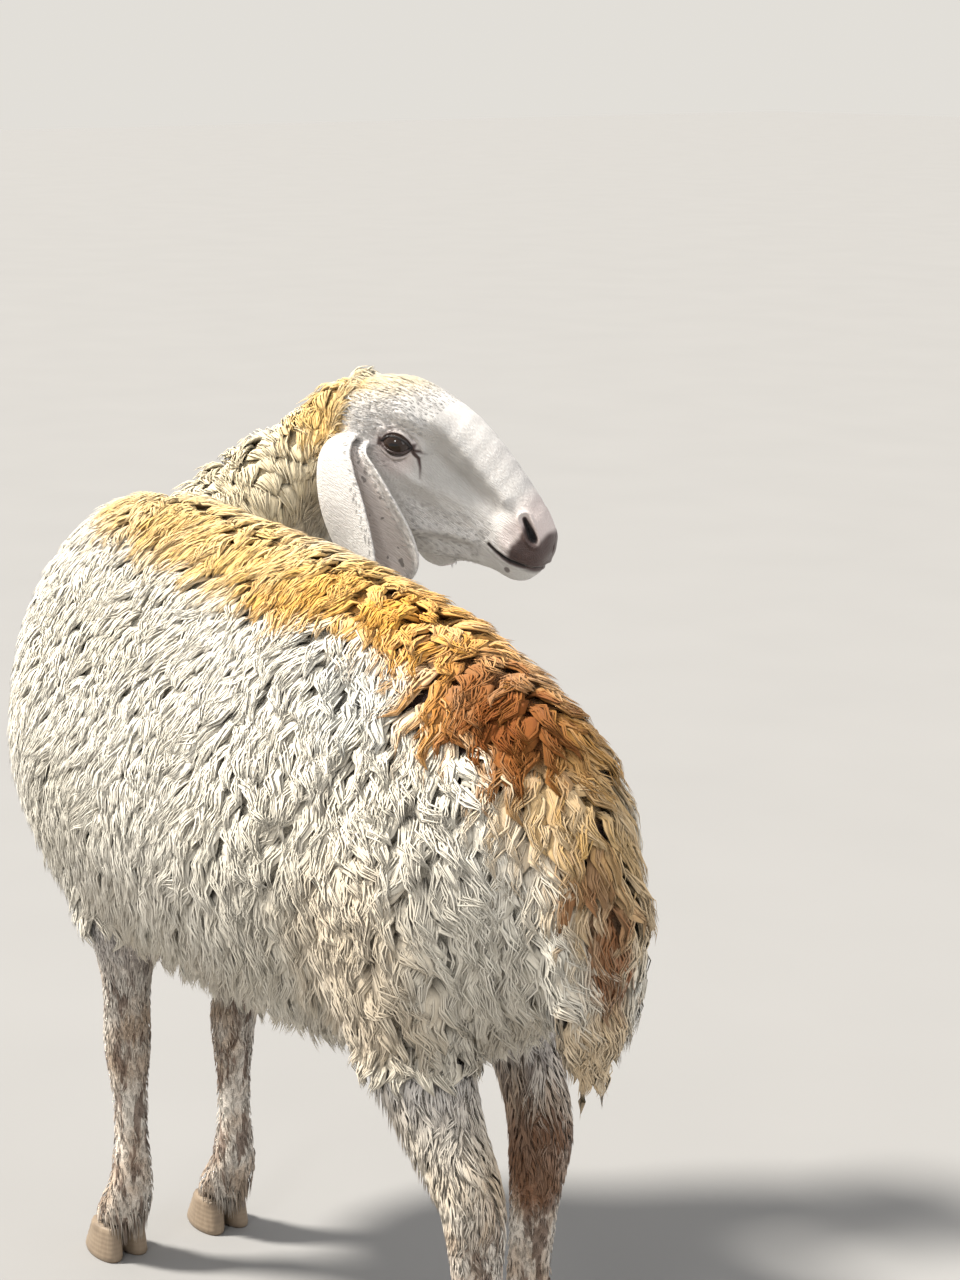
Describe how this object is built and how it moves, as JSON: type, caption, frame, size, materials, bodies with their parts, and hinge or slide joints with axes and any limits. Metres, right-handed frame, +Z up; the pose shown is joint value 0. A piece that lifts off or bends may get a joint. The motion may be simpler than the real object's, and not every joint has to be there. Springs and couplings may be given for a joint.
{
  "type": "standing sheep in full fleece",
  "caption": "Life-size standing sheep in a curly cream fleece dyed orange along the back, its head turned back over the right shoulder, long ears hanging.",
  "frame": {"origin": "middle of the bounding box in plan, at the level the claws stand on", "axes": "+X the way the body faces, +Y the sheep's own left, +Z up"},
  "size_m": [0.8616, 0.5252, 0.8985],
  "materials": {
    "wool": "matte curly fleece, cream, dyed orange along the back",
    "hair": "short white hair over pale skin, with a few brown flecks on the legs",
    "horn": "satin cream horn",
    "eye": "wet, very dark brown"
  },
  "bodies": {
    "root": {"claw_front_left_inner": "horn", "claw_front_left_outer": "horn", "claw_front_right_inner": "horn", "claw_front_right_outer": "horn", "claw_hind_left_inner": "horn", "claw_hind_left_outer": "horn", "claw_hind_right_inner": "horn", "claw_hind_right_outer": "horn", "ear_left": "hair", "ear_right": "hair", "eye_left": "eye", "eye_right": "eye", "head": "hair", "leg_front_left": "hair", "leg_front_right": "hair", "leg_hind_left": "hair", "leg_hind_right": "hair", "neck": "wool", "tail": "wool", "trunk": "wool"}
  },
  "joints": []
}
